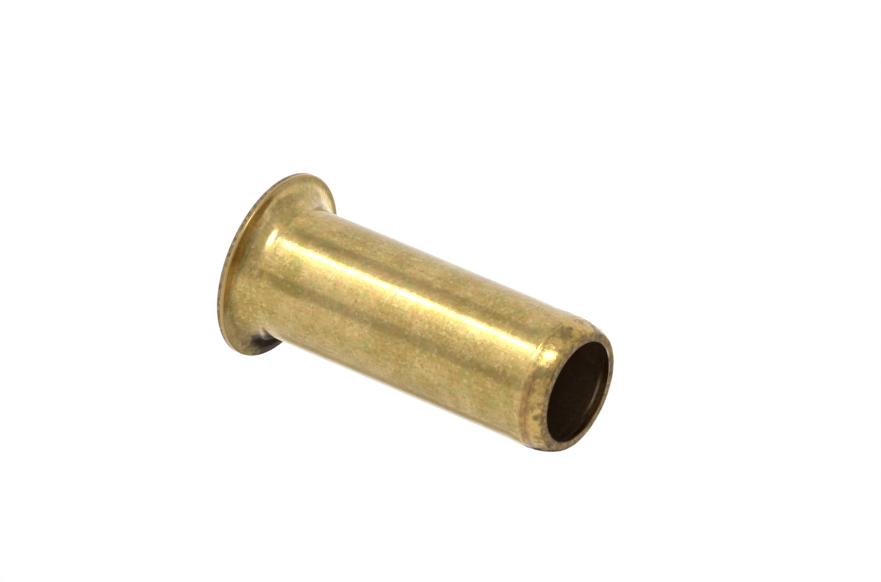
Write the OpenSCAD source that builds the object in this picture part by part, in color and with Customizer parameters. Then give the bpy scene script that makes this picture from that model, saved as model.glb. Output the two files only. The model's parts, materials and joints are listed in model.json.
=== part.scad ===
// Tube insert: a thin brass sleeve that is pushed into the end of a plastic
// tube, so that the tube cannot collapse when a compression fitting grips it.
// One piece, drawn and curled from thin tube. It stands on the back of its
// flange, with its axis along Z and its nose up. All sizes are millimetres.

/* [Barrel] */
// Outside diameter of the straight barrel, which fits the tube's inside
barrel_d = 6.9; // [6:0.05:7.2]
// Thickness of the wall, the same from the flange to the nose
wall = 0.4; // [0.3:0.05:0.6]
// Overall length, from the back of the flange to the end of the nose
overall_l = 18.65; // [12:0.05:30]

/* [Flange] */
// Outside diameter of the flange, which stops against the tube's end
flange_d = 9.7; // [9.4:0.1:12]
// Radius of the flare on the side that faces the tube
flare_r = 1.2; // [0.6:0.05:1.3]
// Rounding of the two corners of the flange's cut edge
rim_r = 0.1; // [0.02:0.01:0.14]

/* [Nose] */
// Length of the nose, from the middle of its crease to its flat end
nose_l = 1.2; // [0.6:0.05:1.4]
// Radius of the outside of the nose, where the wall curls inwards
nose_r = 2.3; // [2:0.05:3.4]
// Rounding where the outside of the nose meets its flat end
lip_r = 0.12; // [0.02:0.01:0.3]
// Width of the crease rolled in where the curl begins
crease_w = 0.3; // [0.1:0.02:0.5]
// Depth of that crease
crease_depth = 0.05; // [0.02:0.01:0.1]

/* [Hidden] */
$fn = 120;
// How far a cut reaches past the surface that it cuts
clear = 0.05;
// Outside and inside of the barrel and the edge of the flange, as radii
barrel_r = barrel_d / 2;
bore_r = barrel_r - wall;
flange_r = flange_d / 2;
// Centre of the flare's curve, level with the height at which the barrel begins
flare_c = barrel_r + flare_r;
flare_z = wall + flare_r;
// Centre of the nose's curve, level with the crease at which the barrel ends
nose_c = barrel_r - nose_r;
crease_z = overall_l - nose_l;
// Radius of a wheel that leaves a crease of that width and depth
crease_r = (crease_w * crease_w / 4 + crease_depth * crease_depth) / (2 * crease_depth);

// The wall bent round the origin through the quarter from +X to +Y, with its
// outside at radius r
module bent_wall(r) {
    intersection() {
        difference() {
            circle(r = r);
            circle(r = r - wall);
        }
        square(r);
    }
}

// What rounding takes off a sharp corner that points to +X and +Y. The
// rounding is centred on the origin.
module corner_waste(r) {
    difference() {
        square(r + clear);
        circle(r = r);
    }
}

// The flange: the wall bent outwards through a quarter turn, then a flat brim
// out to its cut edge
module flange_section() {
    difference() {
        intersection() {
            union() {
                translate([flare_c, flare_z]) rotate(180) bent_wall(flare_r + wall);
                translate([flare_c, 0]) square([flange_r, wall]);
            }
            square([flange_r, flare_z]);
        }
        translate([flange_r - rim_r, wall - rim_r]) corner_waste(rim_r);
        translate([flange_r - rim_r, rim_r]) mirror([0, 1]) corner_waste(rim_r);
    }
}

// The straight wall of the barrel, between the flare and the crease
module barrel_section() {
    translate([bore_r, flare_z]) square([wall, crease_z - flare_z]);
}

// What rounding takes off the nose where its outside meets its flat end. The
// rounding touches both of them from inside the wall.
module lip_waste() {
    reach = nose_r - lip_r;
    rise = nose_l - lip_r;
    centre = [sqrt(reach * reach - rise * rise), rise];
    past_outside = centre * (1 + (lip_r + clear) / reach);
    past_end = nose_l + clear;
    difference() {
        polygon([
            centre,
            [centre[0], past_end],
            [past_outside[0], past_end],
            past_outside
        ]);
        translate(centre) circle(r = lip_r);
    }
}

// The nose: the wall curled inwards and trimmed flat across its end
module nose_section() {
    translate([nose_c, crease_z]) difference() {
        intersection() {
            bent_wall(nose_r);
            square([nose_r, nose_l]);
        }
        lip_waste();
    }
}

// The whole wall on one side of the axis, where X is the radius and Y the height
module wall_section() {
    difference() {
        union() {
            flange_section();
            barrel_section();
            nose_section();
        }
        translate([barrel_r + crease_r - crease_depth, crease_z]) circle(r = crease_r);
    }
}

module tube_insert() {
    color("#c3a468") rotate_extrude() wall_section();
}

tube_insert();
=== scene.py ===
# %% [markdown]
# # A brass tube insert
# A tube insert is a thin brass sleeve that is pushed into the end of a plastic tube, so that the tube
# keeps its shape when a compression fitting grips it. It is one piece of drawn tube: flared at one end
# into a flange, and curled in at the other end into a nose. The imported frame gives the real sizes, in
# metres, so it is loaded first and everything that follows is worked out from it.

# %% Load the frame and read its sizes
import json
import math
import bpy
from mathutils import Euler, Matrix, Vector


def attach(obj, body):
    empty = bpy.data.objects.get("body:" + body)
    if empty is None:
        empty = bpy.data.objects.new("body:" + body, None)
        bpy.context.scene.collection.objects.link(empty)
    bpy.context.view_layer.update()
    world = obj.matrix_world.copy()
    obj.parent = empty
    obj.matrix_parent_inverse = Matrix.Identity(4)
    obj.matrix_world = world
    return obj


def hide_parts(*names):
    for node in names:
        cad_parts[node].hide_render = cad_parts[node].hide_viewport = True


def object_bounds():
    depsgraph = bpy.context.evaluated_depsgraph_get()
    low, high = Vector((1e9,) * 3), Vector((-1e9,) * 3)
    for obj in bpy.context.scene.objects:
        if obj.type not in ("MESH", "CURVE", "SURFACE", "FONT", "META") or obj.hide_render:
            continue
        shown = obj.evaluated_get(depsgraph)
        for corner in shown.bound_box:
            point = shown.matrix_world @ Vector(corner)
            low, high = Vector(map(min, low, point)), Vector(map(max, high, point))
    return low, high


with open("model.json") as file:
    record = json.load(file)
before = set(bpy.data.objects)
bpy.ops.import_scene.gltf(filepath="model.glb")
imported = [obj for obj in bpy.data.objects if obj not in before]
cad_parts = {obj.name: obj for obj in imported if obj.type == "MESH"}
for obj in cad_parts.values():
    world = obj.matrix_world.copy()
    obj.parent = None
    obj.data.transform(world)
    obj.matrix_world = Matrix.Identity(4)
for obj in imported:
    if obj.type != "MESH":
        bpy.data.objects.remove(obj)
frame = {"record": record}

MM = 0.001
cad_low, cad_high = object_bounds()
mounts = {mount["name"]: mount for mount in frame["record"]["mounts"]}
barrel_r = mounts["barrel"]["dims"]["r_mm"] * MM
bore_r = mounts["bore"]["dims"]["r_mm"] * MM
wall = barrel_r - bore_r
length = cad_high.z
flange_r = cad_high.x
straight = mounts["bore"]["dims"]["length_mm"] * MM
flare_z = mounts["bore"]["pos_m"][2] - straight / 2
crease_z = flare_z + straight
print("barrel", barrel_r, "wall", wall, "length", length, "crease at", crease_z)

# %% [markdown]
# ## Small helpers
# Operators act on whatever is selected, and loading the frame leaves its nodes selected. So each job
# starts by clearing the selection, and vertices, edges or faces are then picked by their place.

# %% Helpers for selecting
def only(piece):
    """Makes piece the one selected and active object."""
    if bpy.context.object and bpy.context.object.mode != "OBJECT":
        bpy.ops.object.mode_set(mode="OBJECT")
    bpy.ops.object.select_all(action="DESELECT")
    piece.select_set(True)
    bpy.context.view_layer.objects.active = piece


def pick(piece, wanted, part="VERT"):
    """Selects, in edit mode, just the vertices, edges or faces whose centre passes the test."""
    bpy.ops.object.mode_set(mode="EDIT")
    bpy.ops.mesh.select_mode(type=part)
    bpy.ops.mesh.select_all(action="DESELECT")
    bpy.ops.object.mode_set(mode="OBJECT")
    mesh = piece.data
    if part == "VERT":
        places = [(v, v.co) for v in mesh.vertices]
    elif part == "EDGE":
        ends = mesh.vertices
        places = [(e, (ends[e.vertices[0]].co + ends[e.vertices[1]].co) / 2) for e in mesh.edges]
    else:
        places = [(f, f.center) for f in mesh.polygons]
    chosen = [item for item, place in places if wanted(place)]
    for item in chosen:
        item.select = True
    bpy.ops.object.mode_set(mode="EDIT")
    return len(chosen)


SAME_POINT = 0.001 * MM       # points closer together than this are one


def near(value, target):
    """True if two heights or radii are the same, give or take rounding."""
    return abs(value - target) < 2 * SAME_POINT


# %% [markdown]
# ## The wall's section
# A real insert starts as straight tube, and a press bends its ends. The section is made in the same
# order. A flat plane is the barrel's wall, cut through on one side of the axis. Its lower edge is spun
# through a quarter turn for the flare and extruded for the brim. Its upper edge is spun inwards for the
# nose, and a bisect trims it flat. Spinning gives true arcs, which extruding by hand would not.

# %% The barrel's wall as a plane
flare_r = flare_z - wall      # radius of the flare, on the side that faces the tube
NOSE_R = 2.3 * MM             # radius of the outside of the nose
flare_c = barrel_r + flare_r
nose_c = barrel_r - NOSE_R

bpy.ops.object.select_all(action="DESELECT")
bpy.ops.mesh.primitive_plane_add(
    size=1, location=((barrel_r + bore_r) / 2, 0, (flare_z + crease_z) / 2),
    rotation=(math.radians(90), 0, 0))
insert = bpy.context.object
insert.name = "drawn_brass_insert"
insert.scale = (wall, straight, 1)
bpy.ops.object.transform_apply(location=True, rotation=True, scale=True)
print("wall plane", [round(d / MM, 3) for d in insert.dimensions])

# %% Bend the lower edge into the flare, and draw out the brim
only(insert)
pick(insert, lambda p: near(p.z, flare_z), "EDGE")
bpy.ops.mesh.spin(steps=20, angle=math.radians(90), center=(flare_c, 0, flare_z), axis=(0, 1, 0))
bpy.ops.mesh.extrude_region_move(TRANSFORM_OT_translate={"value": (flange_r - flare_c, 0, 0)})
bpy.ops.object.mode_set(mode="OBJECT")
print("after the flare", [round(d / MM, 3) for d in insert.dimensions])

# %% Curl the upper edge into the nose, and trim it flat
NOSE_TURN = math.radians(46)  # a few degrees more than the trim leaves
pick(insert, lambda p: near(p.z, crease_z), "EDGE")
bpy.ops.mesh.spin(steps=24, angle=NOSE_TURN, center=(nose_c, 0, crease_z), axis=(0, 1, 0))
bpy.ops.mesh.select_all(action="SELECT")
bpy.ops.mesh.bisect(plane_co=(0, 0, length), plane_no=(0, 0, 1), clear_outer=True,
                    threshold=1e-7)
bpy.ops.object.mode_set(mode="OBJECT")
print("after the nose", [round(d / MM, 3) for d in insert.dimensions])

# %% [markdown]
# ## The section's corners
# So far the section is a strip of small faces. Dissolving them leaves one face whose outline is the wall,
# and its corners can then be bevelled as vertices. A bevel needs straight run on both sides of a corner,
# so the few arc points that lie closer to a corner than its rounding are dissolved first.

# %% Round the corners of the cut edges
RIM_R = 0.1 * MM              # rounding of the flange's cut edge
LIP_R = 0.12 * MM             # rounding of the nose outside its flat end
BURR_R = 0.04 * MM            # rounding of the hole's edge, which is left nearly sharp
CROWDED = 1.9                 # points nearer to a corner than its reach times this are in the way


def corner_at_end(side):
    """The section's corner at the nose's flat end: side is max outside and min in the hole."""
    points = [v.co for v in insert.data.vertices if near(v.co.z, length)]
    return side(points, key=lambda p: p.x).copy()


def round_corner(corner, radius, reach, segments):
    """Bevels one corner of the section. reach is how far along its sides the bevel starts."""
    if pick(insert, lambda p: SAME_POINT < (p - corner).length < CROWDED * reach):
        bpy.ops.mesh.dissolve_verts()
    pick(insert, lambda p: (p - corner).length < SAME_POINT)
    bpy.ops.mesh.bevel(offset=reach, segments=segments, affect="VERTICES")
    bpy.ops.object.mode_set(mode="OBJECT")
    print("rounded to", round(radius / MM, 3), "mm at", [round(c / MM, 3) for c in corner])


only(insert)
bpy.ops.object.mode_set(mode="EDIT")
bpy.ops.mesh.select_mode(type="FACE")
bpy.ops.mesh.select_all(action="SELECT")
bpy.ops.mesh.dissolve_faces(use_verts=False)
bpy.ops.object.mode_set(mode="OBJECT")
round_corner(Vector((flange_r, 0, 0)), RIM_R, RIM_R, 6)
round_corner(Vector((flange_r, 0, wall)), RIM_R, RIM_R, 6)
# the wall meets the flat end at an open angle outside and a sharp one in the hole
lean = math.asin((length - crease_z) / NOSE_R)
lip, edge = corner_at_end(max), corner_at_end(min)
HOLE_R = edge.x
round_corner(lip, LIP_R, LIP_R * math.tan((math.pi / 2 - lean) / 2), 6)
round_corner(edge, BURR_R, BURR_R, 4)

# %% [markdown]
# ## The crease, the swell and the ridge
# The tool that curls the nose rolls a shallow crease where the curl begins. The metal it moves has to go
# somewhere: outside it swells a little behind the crease, and inside it is thrown up as a thin ridge. A
# bevel could cut the crease, but its edges would be sharp. So points on the section are pushed in and
# out with proportional editing, which fades smoothly. The long straight sides are subdivided first, to
# give that fading some points to move.

# %% Helpers for pushing the section's faces
def long_side(x):
    """A test for the section's straight edge at one distance from the axis."""
    return lambda p: near(p.x, x) and flare_z < p.z < crease_z


def push(where, amount, reach, falloff, inside=False):
    """Pushes the section's outer or inner face sideways at one height, fading out over reach."""
    # a line between the two faces, which leans in above the crease as the nose does
    middle = (barrel_r + bore_r) / 2 - max(0, where - crease_z) / 4
    face = [v.co for v in insert.data.vertices if (v.co.x < middle) == inside]
    target = min(face, key=lambda p: abs(p.z - where)).copy()
    pick(insert, lambda p: (p - target).length < SAME_POINT)
    bpy.ops.transform.translate(
        value=(amount, 0, 0), use_proportional_edit=True, use_proportional_connected=True,
        proportional_edit_falloff=falloff, proportional_size=reach)
    bpy.ops.object.mode_set(mode="OBJECT")


# %% Roll the crease, the swell behind it and the ridge inside
CREASE_W = 0.3 * MM
CREASE_DEPTH = 0.022 * MM     # shallow, so that it shows as a faint line across the light
SWELL = 0.045 * MM            # how far the barrel stands out just behind the crease
SWELL_BACK = 0.42 * MM        # from the crease back to the top of the swell
SWELL_REACH = 1.1 * MM
RIDGE = 0.045 * MM            # how far the ridge stands in from the inner face
RIDGE_UP = 0.6 * MM           # from the crease up to the ridge
RIDGE_REACH = 0.13 * MM

for x, cuts in ((barrel_r, 80), (bore_r, 24)):
    pick(insert, long_side(x), "EDGE")
    bpy.ops.mesh.subdivide(number_cuts=cuts)
pick(insert, lambda p: near(p.x, barrel_r) and near(p.z, crease_z))
bpy.ops.mesh.bevel(offset=CREASE_W / 2, segments=8, affect="VERTICES")
bpy.ops.object.mode_set(mode="OBJECT")
push(crease_z - SWELL_BACK, SWELL, SWELL_REACH, "SMOOTH")
push(crease_z, -CREASE_DEPTH, CREASE_W / 2, "SMOOTH")
push(crease_z + RIDGE_UP, -RIDGE, RIDGE_REACH, "SMOOTH", inside=True)
print("section points", len(insert.data.vertices))

# %% [markdown]
# ## Once round the axis
# The face is deleted and its outline is spun through a full turn. The ends of the spin meet, so their
# doubles are merged before the normals are made to point outwards.

# %% Spin the outline
TURN_STEPS = 256
only(insert)
bpy.ops.object.mode_set(mode="EDIT")
bpy.ops.mesh.select_mode(type="FACE")
bpy.ops.mesh.select_all(action="SELECT")
bpy.ops.mesh.delete(type="ONLY_FACE")
bpy.ops.mesh.select_mode(type="VERT")
bpy.ops.mesh.select_all(action="SELECT")
bpy.ops.mesh.spin(steps=TURN_STEPS, angle=math.tau, center=(0, 0, 0), axis=(0, 0, 1))
bpy.ops.mesh.select_all(action="SELECT")
bpy.ops.mesh.remove_doubles(threshold=0.0005 * MM)
bpy.ops.mesh.normals_make_consistent(inside=False)
bpy.ops.mesh.faces_shade_smooth()
bpy.ops.object.mode_set(mode="OBJECT")
print("faces", len(insert.data.polygons), "size", [round(d / MM, 3) for d in insert.dimensions])

# %% [markdown]
# ## What the press leaves
# Drawn tube isn't a perfect cylinder: it carries faint waves from the die, and the nose shows where the
# curling tool slid over it. Sculpting that by hand would come out different each time. Clouds textures
# move the surface by one or two hundredths of a millimetre instead, each inside its own vertex group.
# Their middle level is 1, so that they only ever push inwards and the insert never grows past its real
# size.

# %% Waves in the surface
def group(name, wanted):
    """Puts the vertices whose place passes the test in a vertex group."""
    made = insert.vertex_groups.new(name=name)
    made.add([v.index for v in insert.data.vertices if wanted(v.co)], 1.0, "REPLACE")
    return made.name


def wave(name, size, depth, where):
    """Presses clouds of one size and depth into a vertex group."""
    only(insert)
    texture = bpy.data.textures.new(name, "CLOUDS")
    texture.noise_scale = size
    texture.noise_depth = 1
    bpy.ops.object.modifier_add(type="DISPLACE")
    modifier = insert.modifiers[-1]
    modifier.texture = texture
    modifier.texture_coords = "LOCAL"
    modifier.vertex_group = where
    modifier.mid_level = 1.0
    modifier.strength = depth
    bpy.ops.object.modifier_apply(modifier=modifier.name)
    print(name, round(depth / MM * 1000), "thousandths deep")


def radius_of(place):
    """How far a place is from the axis."""
    return math.hypot(place.x, place.y)


# the waves cover the barrel and the flare but not the flat brim, the dents cover the nose but not the
# edge of its hole, and the shear marks only the cut edge
outside = group("outside", lambda p: radius_of(p) > barrel_r - 0.1 * MM and p.z > wall + 0.02 * MM)
nose = group("nose", lambda p: p.z > crease_z + 0.1 * MM and radius_of(p) > bore_r - 0.4 * MM)
rim = group("rim", lambda p: radius_of(p) > flange_r - 0.03 * MM)
wave("die_waves", 1.6 * MM, 0.012 * MM, outside)
wave("nose_dents", 0.55 * MM, 0.022 * MM, nose)
wave("rim_shear", 0.9 * MM, 0.02 * MM, rim)

# %% [markdown]
# ## Colours and nodes
# Colours are written as sRGB hex values, as a paint chart gives them, and one function turns them to
# the linear values that nodes take. One more function adds a node with its settings and its links.

# %% Helpers for materials
def colour(hex_value):
    """An sRGB hex colour as linear red, green, blue and alpha."""
    parts = [int(hex_value[i:i + 2], 16) / 255 for i in (1, 3, 5)]
    return tuple(p / 12.92 if p <= 0.04045 else ((p + 0.055) / 1.055) ** 2.4 for p in parts) + (1.0,)


def node(tree, kind, inputs=(), **settings):
    """Adds a node. inputs pairs a socket's name or number with a value or with a socket to link."""
    made = tree.nodes.new(kind)
    for name, value in settings.items():
        setattr(made, name, value)
    for name, value in inputs:
        if isinstance(value, bpy.types.NodeSocket):
            tree.links.new(value, made.inputs[name])
        else:
            made.inputs[name].default_value = value
    return made


print("middle grey in linear light", round(colour("#808080")[0], 3))

# %% [markdown]
# ## Patterns that sit on the metal
# Die lines, tarnish and scuffs are far too many to model, so noise draws them. It could lie on an
# unwrapped UV map, but that would leave a seam down the tube. Object coordinates have no seam, and in
# millimetres they make the scale of each pattern a real size. A second set of coordinates moves every
# point sideways to the barrel's radius, so that noise stretched along Z makes lines that follow the
# wall out over the flange.

# %% Coordinates in millimetres
def millimetres(tree):
    """The place in mm, the same moved to the barrel's radius, the distance from the axis, X and Z."""
    place = node(tree, "ShaderNodeTexCoord").outputs["Object"]
    mm = node(tree, "ShaderNodeVectorMath", [(0, place), ("Scale", 1 / MM)], operation="SCALE")
    flat = node(tree, "ShaderNodeVectorMath", [(0, mm.outputs[0]), (1, (1, 1, 0))],
                operation="MULTIPLY")
    away = node(tree, "ShaderNodeVectorMath", [(0, flat.outputs[0])], operation="LENGTH")
    turn = node(tree, "ShaderNodeVectorMath", [(0, flat.outputs[0])], operation="NORMALIZE")
    ring = node(tree, "ShaderNodeVectorMath", [(0, turn.outputs[0]), ("Scale", barrel_r / MM)],
                operation="SCALE")
    parts = node(tree, "ShaderNodeSeparateXYZ", [(0, mm.outputs[0])]).outputs
    return {"place": mm.outputs[0], "ring": ring.outputs[0], "away": away.outputs["Value"],
            "sideways": parts["X"], "height": parts["Z"]}


# %% Noise, and one thing laid over another
GRITTY = 0.62                 # how much the finer detail of a noise counts


def patterns(tree, rows):
    """Noise fields by name, from rows of name, coordinates, grain in mm, detail and swirl."""
    fields = {}
    for name, where, grain, detail, swirl in rows:
        fields[name] = node(tree, "ShaderNodeTexNoise", [
            ("Vector", where), ("Scale", 1 / grain), ("Detail", detail), ("Roughness", GRITTY),
            ("Distortion", swirl)]).outputs["Fac"]
    return fields


def overlay(tree, under, over, pattern, start, end, most=1.0):
    """Covers one number or colour with another: none of it where the pattern is at start, and
    most of it where the pattern is at end."""
    amount = node(tree, "ShaderNodeMapRange", [
        ("Value", pattern), ("From Min", start), ("From Max", end), ("To Max", most)],
        interpolation_type="SMOOTHSTEP").outputs[0]
    number = isinstance(over, float) or getattr(over, "type", "RGBA") == "VALUE"
    kind, first, second, result = ("FLOAT", 2, 3, 0) if number else ("RGBA", 6, 7, 2)
    mixed = node(tree, "ShaderNodeMix", [(0, amount), (first, under), (second, over)],
                 data_type=kind)
    return mixed.outputs[result]


def apart(tree, value, target):
    """How far a value is from a target, whichever side of it."""
    gap = node(tree, "ShaderNodeMath", [(0, value), (1, target)], operation="SUBTRACT").outputs[0]
    return node(tree, "ShaderNodeMath", [(0, gap)], operation="ABSOLUTE").outputs[0]


# %% Soft patches in chosen places
RAGGED = 1.6                  # how much the noise breaks a patch's edge
LEVEL = 0.3                   # brings the middle of a patch up to about 1


def soft_patches(tree, place, broken, spots):
    """A pattern that is 1 in the middle of each spot and 0 outside it, with a broken edge.

    A spot is degrees to the left of the insert's front, then distance from the axis, height and
    radius in mm."""
    nearest = None
    for angle, out, height, radius in spots:
        turn = math.radians(angle)
        middle = (-out * math.sin(turn), -out * math.cos(turn), height)
        gap = node(tree, "ShaderNodeVectorMath", [(0, place), (1, middle)], operation="DISTANCE")
        part = node(tree, "ShaderNodeMath", [(0, gap.outputs["Value"]), (1, radius)],
                    operation="DIVIDE").outputs[0]
        nearest = part if nearest is None else node(
            tree, "ShaderNodeMath", [(0, nearest), (1, part)], operation="MINIMUM").outputs[0]
    inwards = node(tree, "ShaderNodeMath", [(0, LEVEL), (1, nearest)], operation="SUBTRACT")
    return node(tree, "ShaderNodeMath", [(0, broken), (1, RAGGED), (2, inwards.outputs[0])],
                operation="MULTIPLY_ADD").outputs[0]


# %% [markdown]
# ## Drawn brass, lightly tarnished
# The outside is brass drawn through a die and never polished. To the eye it is satin: a lamp shows in it
# with soft edges, and it is yellow in the light and brown in the shade. A thin film of oxide lies on it
# like lacquer, so a weak coat adds a paler reflection. The colour is laid on in the order in which the
# real one came about: the metal, wide clouds of tarnish, pink and green patches, die lines and specks.

# %% The patterns in the brass
LINE_SQUEEZE = 0.03           # makes the die lines some thirty times as long as they are wide


def brass_patterns(tree, at):
    """The noise fields of the outside, the dark spots on the nose and the painted dark reflection in the
    flare.
    """
    place = at["place"]
    along = node(tree, "ShaderNodeVectorMath", [
        (0, place), (1, (0, 0, LINE_SQUEEZE)), (2, at["ring"])], operation="MULTIPLY_ADD").outputs[0]
    # die lines are about 0.15 mm apart; tarnish comes in clouds of 2 mm, in pink and green patches
    # of 0.6 and 0.85 mm, in a grain of 0.2 mm and in specks of 0.13 mm; scuffs are 0.45 mm long
    field = patterns(tree, [
        ("lines", along, 0.15, 3.0, 0.0), ("clouds", place, 2.0, 3.0, 0.6),
        ("pink", place, 0.6, 4.0, 0.0), ("green", place, 0.85, 4.0, 0.0),
        ("specks", place, 0.13, 2.0, 0.0), ("grain", place, 0.22, 3.0, 0.4),
        ("scuffs", place, 0.45, 5.0, 0.25)])
    # dark spots at given places on the nose and its flat end, where it shows darker; the first cuts short
    # the lower end of the nose's highlight
    field["smudged"] = soft_patches(tree, place, field["scuffs"], [
        (3, 3.3, 18.05, 1.0), (46, 3.3, 17.8, 1.05), (28, 3.2, 18.35, 0.3),
        (-38, 3.2, 18.3, 0.3), (85, 2.9, 18.45, 0.95), (140, 2.9, 18.5, 1.2)])
    # the painted dark reflection at the foot of the flare, on the side towards plus X
    field["blackened"] = soft_patches(tree, place, field["scuffs"], [
        (-98, 3.8, 1.0, 1.6), (-119, 4.3, 0.5, 2.5)])
    return field


# %% The tarnish
def tarnish(tree, field):
    """The colour of the barrel and the flare."""
    base = overlay(tree, colour("#CBAD6D"), colour("#B2964F"), field["clouds"], 0.36, 0.64)
    base = overlay(tree, base, colour("#CC9064"), field["pink"], 0.52, 0.72, 0.55)
    base = overlay(tree, base, colour("#94A05A"), field["green"], 0.52, 0.72, 0.6)
    base = overlay(tree, base, colour("#8C7440"), field["lines"], 0.5, 0.75, 0.4)
    base = overlay(tree, base, colour("#E8D09A"), field["grain"], 0.5, 0.72, 0.5)
    base = overlay(tree, base, colour("#75602F"), field["specks"], 0.52, 0.7, 0.45)
    # one blackened patch in the flare, where damp has sat
    # a painted dark reflection in the flare: the shade of a dark surface nearby, laid into the colour
    return overlay(tree, base, colour("#3C2614"), field["blackened"], 0.2, 0.8, 0.92)


# %% [markdown]
# ## The worked ends
# The nose was curled cold under a tool, so it is scuffed and browner, with dark spots at given places
# where it shows darker. On the side towards plus X, a copper coloured band with a second faint line in
# it lies just above the crease. The nose's flat end and the flange's edge are cut faces, which go brown
# sooner than drawn ones. These colours could be materials of their own on faces picked by place, but
# they would meet along hard lines. Laid over the tarnish by height and by distance from the axis, they
# fade into it.

# %% The nose
CREASE, TOP = crease_z / MM, length / MM      # heights in mm, as the coordinates are
SECOND_LINE = CREASE + 0.4


def worked_nose(tree, at, field, base):
    """Lays the nose's colours over the base, from the crease up."""
    browned = overlay(tree, colour("#CAA65C"), colour("#8C6E3A"), field["scuffs"], 0.4, 0.66)
    browned = overlay(tree, browned, colour("#E2C88C"), field["grain"], 0.52, 0.7, 0.5)
    # a copper coloured band just above the crease on the side towards plus X, with a second faint dark
    # line in it
    copper_band = overlay(tree, colour("#B08850"), colour("#93683A"), field["scuffs"], 0.4, 0.6)
    second = apart(tree, at["height"], SECOND_LINE)
    copper_band = overlay(tree, copper_band, colour("#7A5530"), second, 0.07, 0.01, 0.7)
    # the band ends 0.65 mm up from the crease, and is only on the side towards plus X
    copper_band = overlay(tree, copper_band, browned, at["height"], CREASE + 0.45, CREASE + 0.65)
    browned = overlay(tree, browned, copper_band, at["sideways"], -0.6, 0.6, 0.9)
    # darker over the dark spots
    browned = overlay(tree, browned, colour("#62502F"), field["smudged"], 0.3, 0.9, 0.7)
    return overlay(tree, base, browned, at["height"], CREASE - 0.05, CREASE + 0.2, 0.85)


# %% The cut faces
# radii in mm between which the flange's edge fades in
RIM_FROM, RIM_TO = flange_r / MM - 0.12, flange_r / MM - 0.07


def cut_faces(tree, at, field, base):
    """Lays over the base the nose's flat end, the edge of its hole and the flange's edge."""
    cut = overlay(tree, colour("#72562E"), colour("#B48F52"), field["grain"], 0.4, 0.64)
    # darker over the dark spots
    cut = overlay(tree, cut, colour("#5C4626"), field["smudged"], 0.3, 1.0, 0.6)
    # the flat end's brown fades in over the rounded lip
    base = overlay(tree, base, cut, at["height"], TOP - 0.16, TOP - 0.01, 0.8)
    # painted shade: darker within 0.13 mm of the hole, where the lip turns down into the dark bore
    hole = overlay(tree, base, colour("#3A2A1A"), at["away"], HOLE_R / MM + 0.13, HOLE_R / MM)
    base = overlay(tree, base, hole, at["height"], TOP - 0.2, TOP - 0.1)
    # a punched edge is torn and grey in its lower half; its upper half is lighter, partly the burnished
    # band such an edge has and partly a painted highlight
    torn = overlay(tree, colour("#6E5E44"), colour("#A8946C"), field["grain"], 0.4, 0.65)
    edge = overlay(tree, torn, colour("#B0905A"), at["height"], 0.19, 0.27)
    return overlay(tree, base, edge, at["away"], RIM_FROM, RIM_TO)


# %% [markdown]
# ## Gloss and grain
# Roughness decides how soft a reflection is: drawn brass lies near 0.2, scuffed brass near 0.35 and torn
# brass near 0.5. Bump adds what is too shallow to model, the die lines and the grain at 2 thousandths
# of a millimetre and the scuffs at 20. It leans the reflection and leaves the outline alone.

# %% Roughness and bump
WORN_TO = CREASE + 0.3        # the height by which the nose's scuffs have their full depth


def gloss(tree, at, field):
    """The roughness of the outside."""
    rough = overlay(tree, 0.15, 0.22, field["lines"], 0.3, 0.7)
    rough = overlay(tree, rough, 0.3, field["specks"], 0.5, 0.75)
    # roughness 0.24 under the painted dark reflection
    rough = overlay(tree, rough, 0.24, field["blackened"], 0.2, 0.8)
    scuffed = overlay(tree, 0.16, 0.36, field["scuffs"], 0.4, 0.65)
    rough = overlay(tree, rough, scuffed, at["height"], CREASE, WORN_TO)
    ragged = overlay(tree, 0.5, 0.18, at["height"], 0.18, 0.26)
    return overlay(tree, rough, ragged, at["away"], RIM_FROM, RIM_TO)


def unevenness(tree, at, field):
    """Bumps all over from the die lines and the grain, and from scuffs on the nose alone."""
    bumps = node(tree, "ShaderNodeBump", [("Height", field["lines"]), ("Distance", 0.002 * MM)])
    bumps = node(tree, "ShaderNodeBump", [("Height", field["grain"]), ("Distance", 0.002 * MM),
                 ("Normal", bumps.outputs[0])])
    worked = overlay(tree, 0.0, 1.0, at["height"], CREASE, WORN_TO)
    bumps = node(tree, "ShaderNodeBump", [("Height", field["scuffs"]), ("Strength", worked),
                 ("Distance", 0.02 * MM), ("Normal", bumps.outputs[0])])
    return bumps.outputs[0]


# %% Drawn brass
def drawn_brass():
    """Satin brass, yellow in the light and brown in the shade, with soft-edged reflections."""
    material = bpy.data.materials.new("drawn_brass_tarnished")
    material.use_nodes = True
    tree = material.node_tree
    shader = tree.nodes["Principled BSDF"]
    at = millimetres(tree)
    field = brass_patterns(tree, at)
    base = worked_nose(tree, at, field, tarnish(tree, field))
    tree.links.new(cut_faces(tree, at, field, base), shader.inputs["Base Color"])
    tree.links.new(gloss(tree, at, field), shader.inputs["Roughness"])
    tree.links.new(unevenness(tree, at, field), shader.inputs["Normal"])
    shader.inputs["Metallic"].default_value = 1.0
    # the oxide film
    shader.inputs["Coat Weight"].default_value = 0.3
    shader.inputs["Coat Roughness"].default_value = 0.13
    print(material.name, "nodes", len(tree.nodes))
    return material
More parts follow.
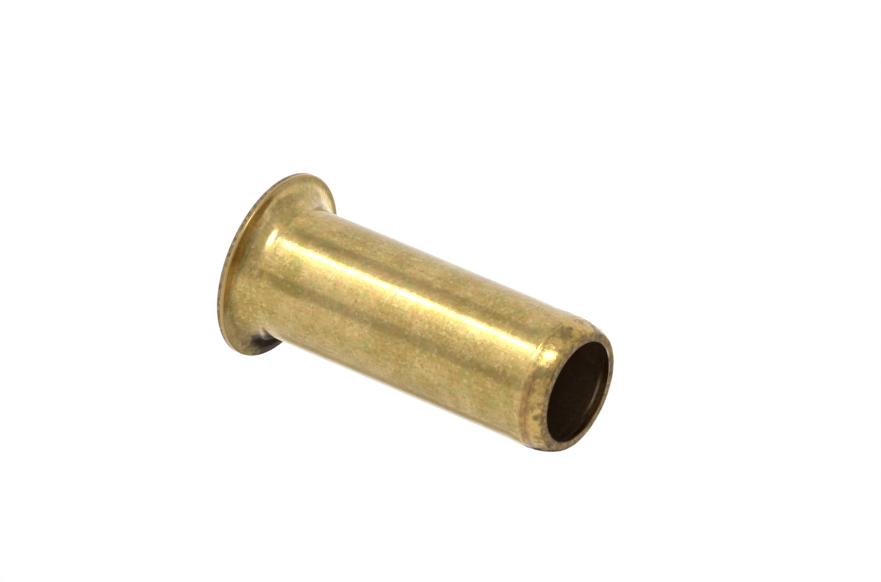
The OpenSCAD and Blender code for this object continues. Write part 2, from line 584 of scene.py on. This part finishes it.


# %% [markdown]
# ## The bore
# Nothing rubs the inside of the insert, so its oxide is left to grow: the bore is dull and brown, and
# looks nearly black from outside because little light gets in. The thin ridge that was thrown up as the
# nose was curled carries a painted highlight along part of its length.

# %% Oxidised brass, for the bore
def oxidised_bore():
    """Dull brown brass that swallows the light."""
    material = bpy.data.materials.new("oxidised_bore")
    material.use_nodes = True
    tree = material.node_tree
    shader = tree.nodes["Principled BSDF"]
    at = millimetres(tree)
    clouds = patterns(tree, [("clouds", at["place"], 1.1, 4.0, 0.5)])["clouds"]
    base = overlay(tree, colour("#A08468"), colour("#7A644C"), clouds, 0.35, 0.65)
    # browner above the ridge, and a painted highlight along part of the ridge
    ridge = CREASE + RIDGE_UP / MM
    base = overlay(tree, base, colour("#80582E"), at["height"], ridge, ridge + 0.3)
    ridge_highlight = overlay(tree, base, colour("#F0DCB4"), apart(tree, at["height"], ridge), 0.12, 0.05)
    base = overlay(tree, base, ridge_highlight, apart(tree, at["sideways"], -0.3), 1.1, 0.4)
    tree.links.new(base, shader.inputs["Base Color"])
    tree.links.new(overlay(tree, 0.42, 0.6, clouds, 0.35, 0.65), shader.inputs["Roughness"])
    shader.inputs["Metallic"].default_value = 1.0
    print(material.name, "nodes", len(tree.nodes))
    return material


# %% [markdown]
# ## Outside and inside
# Both finishes are on one mesh, because the insert is one piece of metal. There are far too many faces
# to pick by hand, so each is told by the way it looks: one that looks towards the axis or down belongs
# to the bore, and every other one to the outside.

# %% Give the outside and the inside their finishes
LEANS_IN = -0.05              # a normal whose outward part is below this points at the axis
LOOKS_DOWN = -0.5             # a normal whose upward part is below this points down

insert.data.materials.append(drawn_brass())
insert.data.materials.append(oxidised_bore())


def faces_inward(face):
    """A test for the faces of the bore and of the flange's back."""
    outwards = Vector((face.center.x, face.center.y, 0)).normalized()
    return face.normal.dot(outwards) < LEANS_IN or face.normal.z < LOOKS_DOWN


inner = [face for face in insert.data.polygons if faces_inward(face)]
for face in inner:
    face.material_index = 1
print("faces inside", len(inner))

# %% [markdown]
# ## The studio
# Polished metal shows what stands around it, so the light for it is a place more than a brightness. A
# plain white world does the work of a light tent, and all the rest is put where its reflection is
# wanted. A tall narrow lamp, low on the left, draws the bright line down the barrel, and three wide dim
# ones beside it let that line fade on one side. A round lamp higher up gives the flange and the nose a
# highlight each, and one at the back lights the far edge. Between them, grey cards give the metal
# something darker to show. At the back, a cream one low down warms the barrel's lower edge and a dark
# brown one deepens the shade in the flare. The camera sees none of these.
#
# The floor is a small disc of white paper, so that the lamps and cards still show in the lower part of
# the barrel. It glows a little, but only for the camera and in reflections: it stays white around the
# insert's shadow and puts no extra light on it.

# %% Floor
FLOOR_R = 6.6 * MM
PAPER_GLOW = 0.76
MATT = 0.9                    # roughness of paper and board, which mirror nothing
WHITE = colour("#FFFFFF")

bpy.ops.object.select_all(action="DESELECT")
bpy.ops.mesh.primitive_circle_add(vertices=96, radius=FLOOR_R, fill_type="NGON")
floor = bpy.context.object
floor.name = "floor_disc"
paper = bpy.data.materials.new("white_paper")
paper.use_nodes = True
# matt paper: it shows no lamp, only light and shade
sheet = paper.node_tree.nodes["Principled BSDF"]
sheet.inputs["Base Color"].default_value = colour("#BFBFBD")
sheet.inputs["Roughness"].default_value = MATT
sheet.inputs["Emission Color"].default_value = WHITE
rays = node(paper.node_tree, "ShaderNodeLightPath").outputs
seen = rays["Is Camera Ray"]
for kind in ("Is Glossy Ray", "Is Transmission Ray"):
    seen = node(paper.node_tree, "ShaderNodeMath", [(0, seen), (1, rays[kind])],
                operation="MAXIMUM").outputs[0]
glow = node(paper.node_tree, "ShaderNodeMath", [(0, seen), (1, PAPER_GLOW)], operation="MULTIPLY")
paper.node_tree.links.new(glow.outputs[0], sheet.inputs["Emission Strength"])
floor.data.materials.append(paper)
print("floor", round(2 * FLOOR_R / MM, 1), "mm across")

# %% World
world = bpy.data.worlds.new("light_tent")
world.use_nodes = True
world.node_tree.nodes["Background"].inputs["Color"].default_value = WHITE
world.node_tree.nodes["Background"].inputs["Strength"].default_value = 1.0
bpy.context.scene.world = world
print("world", world.name)

# %% Helpers for lamps and cards
STAND_OFF = 180 * MM          # how far from the insert the lamps and cards stand
LAMP_POWER = 4                # watts for each square metre of a lamp that looks as bright as white
TUBE_LIGHT = (0.88, 0.98, 1.0)        # in linear light: daylight tubes are faintly blue-green


def place_for(angle, rise, width, height):
    """Where a lamp or card stands, how it is turned to face the insert, and its two sides.

    angle is in degrees to the left of the camera, rise in degrees above the insert, and width and
    height are how large it looks from there, in degrees."""
    turn, lift = math.radians(angle), math.radians(rise)
    away = Vector((-math.sin(turn) * math.cos(lift), -math.cos(turn) * math.cos(lift),
                   math.sin(lift)))
    sides = [2 * STAND_OFF * math.tan(math.radians(side / 2)) for side in (width, height)]
    spot = Vector((0, 0, length / 2)) + away * STAND_OFF
    return spot, (math.pi / 2 - lift, 0, -turn), sides


def lamp(name, angle, rise, width, height, strength, shape="RECTANGLE"):
    """A soft lamp. strength is its brightness, where 1 is white. An ellipse has less area than its
    rectangle and the same power, so it is about a quarter brighter."""
    spot, turned, sides = place_for(angle, rise, width, height)
    bpy.ops.object.light_add(type="AREA", location=spot, rotation=turned)
    made = bpy.context.object
    made.name = name
    made.data.shape = shape
    made.data.color = TUBE_LIGHT
    made.data.size, made.data.size_y = sides
    made.data.energy = LAMP_POWER * sides[0] * sides[1] * strength
    made.visible_camera = False
    print(name, [round(side / MM) for side in sides], "mm")


def card(name, angle, rise, width, height, shade):
    """A card of matt board, which shows as one flat tone. shade is its sRGB hex colour."""
    spot, turned, sides = place_for(angle, rise, width, height)
    bpy.ops.mesh.primitive_plane_add(size=1, location=spot, rotation=turned)
    made = bpy.context.object
    made.name = name
    made.scale = (sides[0], sides[1], 1)
    board = bpy.data.materials.new(name)
    board.use_nodes = True
    shader = board.node_tree.nodes["Principled BSDF"]
    shader.inputs["Base Color"].default_value = colour(shade)
    shader.inputs["Roughness"].default_value = MATT
    made.data.materials.append(board)
    made.visible_camera = False


# %% Set out the lamps
lamp("streak_lamp", 37.5, -39, 4.2, 34, 10.5)
lamp("flare_lamp", 34.5, 6, 25, 19, 4.2, "ELLIPSE")
lamp("glow_lamp", 28, -20, 11, 75, 0.45)
lamp("wide_glow_lamp", 23, -20, 19, 75, 0.36)
lamp("side_lamp", 15, -30, 28, 50, 0.22)
lamp("back_lamp", 167.5, -2, 15, 48, 0.6)

# %% Set out the cards
card("right_card", -26, -25, 18, 42, "#D2D2D2")
card("upper_right_card", -28, 26, 20, 56, "#DEDEDE")
card("camera_card", 12, 51, 62, 46, "#DADADA")
card("camera_edge_card", 12, 20, 62, 16, "#E8E8E8")
card("low_left_card", 66, -38, 15, 26, "#C8C8C8")
card("left_card", 82, 16, 38, 76, "#E0E0E0")
card("back_left_card", 118, 37, 30, 48, "#CECECE")
card("far_right_card", -96, -36, 48, 34, "#F8F8F8")
card("top_card", 0, 90, 38, 38, "#ACACAC")
card("back_card", -122, 34, 20, 60, "#DCDCDC")
card("shadow_card", -150, 24, 34, 80, "#BCBCBC")
card("low_back_card", -139, -36, 18, 30, "#D0C6A6")
card("dark_card", -166, 0.5, 31, 47, "#3A2E26")
card("far_card", -176, 34, 24, 28, "#D0D0D0")

# %% [markdown]
# ## The camera
# A long lens, from about half a metre away, shows both ends of the insert at nearly the same size. It
# looks down on the standing insert and is turned on its side, so that the insert seems to lie down.

# %% Camera
LOOK_DOWN = math.radians(28.4)
ROLL = math.radians(112.85)
DISTANCE = 450 * MM
ASIDE, ABOVE = 0.785 * MM, 1.788 * MM   # from the insert's middle to the middle of the view

facing = (Euler((math.pi / 2 - LOOK_DOWN, 0, 0)).to_matrix() @ Euler((0, 0, ROLL)).to_matrix())
aim = Vector((0, 0, length / 2)) + facing @ Vector((ASIDE, ABOVE, 0))
bpy.ops.object.camera_add(location=aim + facing @ Vector((0, 0, DISTANCE)),
                          rotation=facing.to_euler())
camera = bpy.context.object
# the lens and the sensor are in real millimetres, the clipping in metres
camera.data.lens = 370
camera.data.sensor_width = 36
camera.data.clip_start = 10 * MM
camera.data.clip_end = 10
bpy.context.scene.camera = camera
bpy.context.scene.view_settings.view_transform = "Standard"
print("camera at", [round(c / MM, 1) for c in camera.location])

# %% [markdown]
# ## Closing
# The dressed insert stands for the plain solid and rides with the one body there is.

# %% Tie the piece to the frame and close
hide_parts("tube_insert")
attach(insert, "root")
